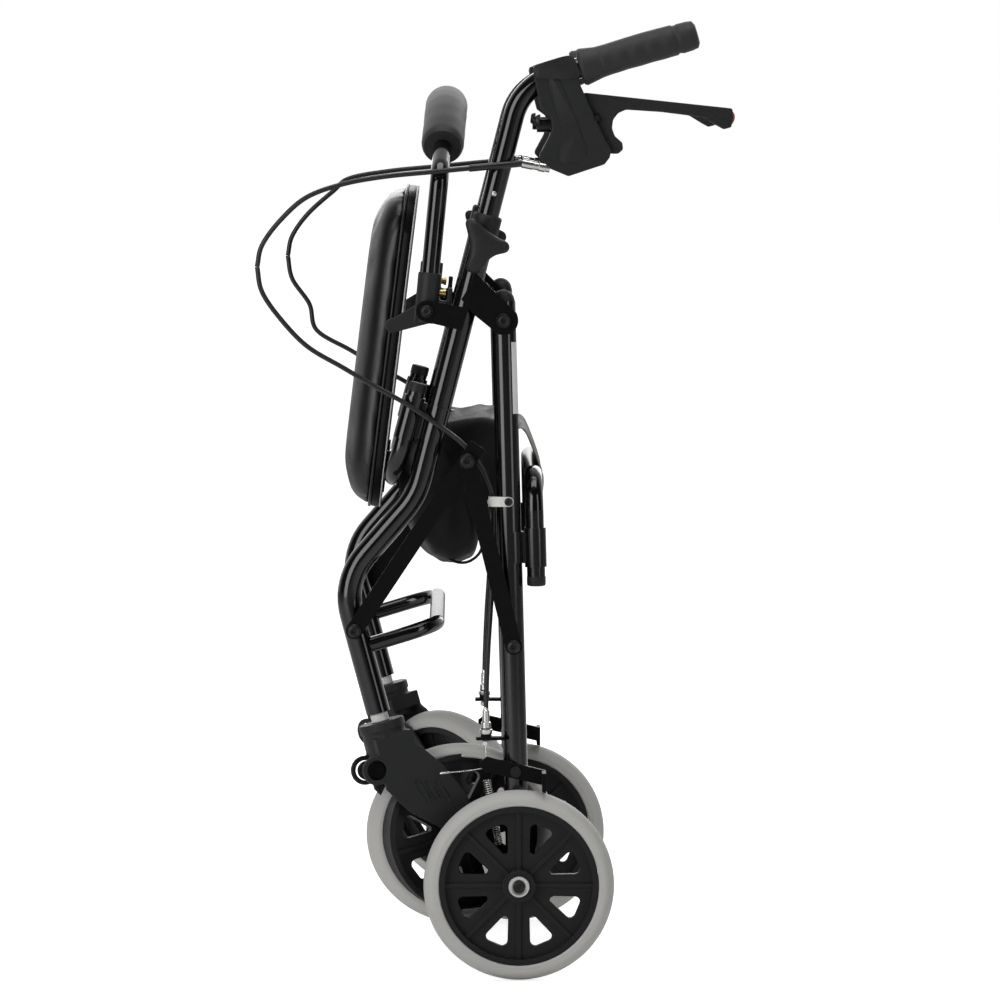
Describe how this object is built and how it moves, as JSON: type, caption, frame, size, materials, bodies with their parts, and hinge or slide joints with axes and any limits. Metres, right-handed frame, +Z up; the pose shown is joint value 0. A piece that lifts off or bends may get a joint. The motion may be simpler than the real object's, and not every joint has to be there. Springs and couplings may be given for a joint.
{
  "type": "rollator walker",
  "caption": "Folding wheeled walker with flip-up seat, arched padded backrest, height-adjustable handles with cable brakes, swivelling front wheels and a slung bag.",
  "frame": {"origin": "on the ground, midway between the two rear wheels' contact points, with the walker folded", "axes": "+Z up; +X towards the user's end; +Y towards the user's right"},
  "size_m": [0.5, 0.56, 1.0053],
  "materials": {
    "bag_black": "woven nylon",
    "bolt_black": "black oxide",
    "brass": "satin",
    "bush_white": "matte",
    "cable_black": "satin sheath",
    "foam_black": "matte closed-cell foam",
    "frame_black": "gloss",
    "grip_black": "matte soft-touch",
    "link_black": "satin",
    "plastic_charcoal": "matte, fine moulded grain",
    "steel_zinc": "zinc plated",
    "tyre_grey": "matte warm light grey",
    "vinyl_black": "satin vinyl"
  },
  "bodies": {
    "fold_pivot": {"fold_pivot_bolts": "bolt_black"},
    "front_frame": {"front_leg_tubes": "frame_black", "leg_bracket_plates": "link_black", "front_seat_bar": "frame_black", "front_bar_saddles": "frame_black", "lower_crossbar": "frame_black", "front_frame_bolts": "bolt_black", "handle_collars": "plastic_charcoal", "knob_bosses": "frame_black", "caster_stems": "bush_white", "brake_cables": "cable_black", "storage_bag": "bag_black"},
    "rear_frame": {"rear_leg_tubes": "frame_black", "rear_leg_plugs": "plastic_charcoal", "rear_seat_bar": "frame_black", "rear_bar_saddles": "frame_black", "rear_frame_bolts": "bolt_black", "cable_clips": "bush_white", "cable_stops": "link_black", "rear_axle_bolts": "steel_zinc", "brake_return_springs": "steel_zinc"},
    "front_links": {"front_brace_links": "link_black"},
    "rear_links": {"rear_brace_links": "link_black", "brace_middle_rivets": "bolt_black"},
    "seat": {"seat_board": "plastic_charcoal", "seat_cushion": "vinyl_black", "seat_hinge_clips": "plastic_charcoal"},
    "backrest": {"backrest_bar": "frame_black", "backrest_foam": "foam_black", "backrest_sockets": "plastic_charcoal"},
    "backrest_release": {"backrest_release_buttons": "brass"},
    "handle_left": {"handle_tube_left": "frame_black", "hand_grip_left": "grip_black", "brake_housing_left": "plastic_charcoal", "brake_fittings_left": "steel_zinc"},
    "brake_lever_left": {"brake_lever_left": "plastic_charcoal"},
    "snap_button_left": {"snap_button_left": "steel_zinc"},
    "wing_knob_left": {"wing_knob_left": "plastic_charcoal"},
    "caster_left": {"caster_fork_left": "plastic_charcoal", "fork_axle_left": "steel_zinc"},
    "front_wheel_left": {"front_wheel_hub_left": "plastic_charcoal", "front_tyre_left": "tyre_grey"},
    "rear_wheel_left": {"rear_wheel_hub_left": "plastic_charcoal", "rear_tyre_left": "tyre_grey"},
    "brake_arm_left": {"brake_arm_left": "link_black"},
    "handle_right": {"handle_tube_right": "frame_black", "hand_grip_right": "grip_black", "brake_housing_right": "plastic_charcoal", "brake_fittings_right": "steel_zinc"},
    "brake_lever_right": {"brake_lever_right": "plastic_charcoal"},
    "snap_button_right": {"snap_button_right": "steel_zinc"},
    "wing_knob_right": {"wing_knob_right": "plastic_charcoal"},
    "caster_right": {"caster_fork_right": "plastic_charcoal", "fork_axle_right": "steel_zinc"},
    "front_wheel_right": {"front_wheel_hub_right": "plastic_charcoal", "front_tyre_right": "tyre_grey"},
    "rear_wheel_right": {"rear_wheel_hub_right": "plastic_charcoal", "rear_tyre_right": "tyre_grey"},
    "brake_arm_right": {"brake_arm_right": "link_black"}
  },
  "joints": [
    {"name": "front_frame_tilt", "type": "hinge", "parent": "fold_pivot", "child": "front_frame", "pos_m": [-0.0156, 0, 0.6897], "axis": [0, -1, 0], "range_deg": [-14.9, 0]},
    {"name": "fold_open", "type": "hinge", "parent": "front_frame", "child": "rear_frame", "pos_m": [-0.0156, 0, 0.6897], "axis": [0, -1, 0], "range_deg": [0, 44.7], "deforming": ["storage_bag", "brake_cables"]},
    {"name": "front_link_turn", "type": "hinge", "parent": "front_frame", "child": "front_links", "pos_m": [-0.1722, 0, 0.365], "axis": [0, -1, 0], "range_deg": [-41.4, 0]},
    {"name": "rear_link_turn", "type": "hinge", "parent": "rear_frame", "child": "rear_links", "pos_m": [-0.0053, 0, 0.3488], "axis": [0, -1, 0], "range_deg": [0, 41.18]},
    {"name": "seat_flip", "type": "hinge", "parent": "front_frame", "child": "seat", "pos_m": [-0.1316, 0, 0.5242], "axis": [0, 1, 0], "range_deg": [0, 67.5]},
    {"name": "backrest_tilt", "type": "hinge", "parent": "front_frame", "child": "backrest", "pos_m": [-0.0962, 0, 0.6997], "axis": [0, -1, 0], "range_deg": [0, 72]},
    {"name": "backrest_release_press", "type": "slide", "parent": "backrest", "child": "backrest_release", "axis": [-0.9954, 0, 0.0958], "range_m": [0, 0.002]},
    {"name": "handle_height_left", "type": "slide", "parent": "front_frame", "child": "handle_left", "axis": [0.248, 0, 0.9688], "range_m": [0, 0.1]},
    {"name": "brake_lever_left_squeeze", "type": "hinge", "parent": "handle_left", "child": "brake_lever_left", "pos_m": [0.0816, -0.22, 0.9006], "axis": [0, -1, 0], "range_deg": [0, 13]},
    {"name": "brake_arm_left_turn", "type": "hinge", "parent": "rear_frame", "child": "brake_arm_left", "pos_m": [-0.0031, -0.22, 0.217], "axis": [0, 1, 0], "range_deg": [0, 2.5], "deforming": ["brake_return_springs"]},
    {"name": "snap_button_left_press", "type": "slide", "parent": "handle_left", "child": "snap_button_left", "axis": [0, 1, 0], "range_m": [0, 0.0025]},
    {"name": "wing_knob_left_turn", "type": "hinge", "parent": "front_frame", "child": "wing_knob_left", "pos_m": [-0.04064, -0.22, 0.76494], "axis": [0, 1, 0], "continuous": true},
    {"name": "caster_left_swivel", "type": "hinge", "parent": "front_frame", "child": "caster_left", "pos_m": [-0.1461, -0.22, 0.2735], "axis": [-0.2594, 0, 0.9658], "range_deg": [0, 40]},
    {"name": "front_wheel_left_spin", "type": "hinge", "parent": "caster_left", "child": "front_wheel_left", "pos_m": [-0.0597, -0.20242, 0.14864], "axis": [-0.3144, 0.9455, -0.0845], "continuous": true},
    {"name": "rear_wheel_left_spin", "type": "hinge", "parent": "rear_frame", "child": "rear_wheel_left", "pos_m": [0, -0.257, 0.1], "axis": [0, 1, 0], "continuous": true},
    {"name": "handle_height_right", "type": "slide", "parent": "front_frame", "child": "handle_right", "axis": [0.248, 0, 0.9688], "range_m": [0, 0.1]},
    {"name": "brake_lever_right_squeeze", "type": "hinge", "parent": "handle_right", "child": "brake_lever_right", "pos_m": [0.0816, 0.22, 0.9006], "axis": [0, -1, 0], "range_deg": [0, 13]},
    {"name": "brake_arm_right_turn", "type": "hinge", "parent": "rear_frame", "child": "brake_arm_right", "pos_m": [-0.0031, 0.22, 0.217], "axis": [0, 1, 0], "range_deg": [0, 2.5]},
    {"name": "snap_button_right_press", "type": "slide", "parent": "handle_right", "child": "snap_button_right", "axis": [0, -1, 0], "range_m": [0, 0.0025]},
    {"name": "wing_knob_right_turn", "type": "hinge", "parent": "front_frame", "child": "wing_knob_right", "pos_m": [-0.04064, 0.22, 0.76494], "axis": [0, 1, 0], "continuous": true},
    {"name": "caster_right_swivel", "type": "hinge", "parent": "front_frame", "child": "caster_right", "pos_m": [-0.1461, 0.22, 0.2735], "axis": [0.2594, 0, -0.9658], "range_deg": [-25, 15]},
    {"name": "front_wheel_right_spin", "type": "hinge", "parent": "caster_right", "child": "front_wheel_right", "pos_m": [-0.07086, 0.18317, 0.14564], "axis": [-0.6587, -0.7314, -0.1769], "continuous": true},
    {"name": "rear_wheel_right_spin", "type": "hinge", "parent": "rear_frame", "child": "rear_wheel_right", "pos_m": [0, 0.257, 0.1], "axis": [0, 1, 0], "continuous": true}
  ],
  "couplings": [
    {"joint": "front_frame_tilt", "follows": "fold_open", "ratio": -0.33333},
    {"joint": "front_link_turn", "follows": "fold_open", "ratio": -0.92601},
    {"joint": "rear_link_turn", "follows": "fold_open", "ratio": 0.92102},
    {"joint": "brake_arm_left_turn", "follows": "brake_lever_left_squeeze", "ratio": 0.19231},
    {"joint": "brake_arm_right_turn", "follows": "brake_lever_right_squeeze", "ratio": 0.19231}
  ]
}
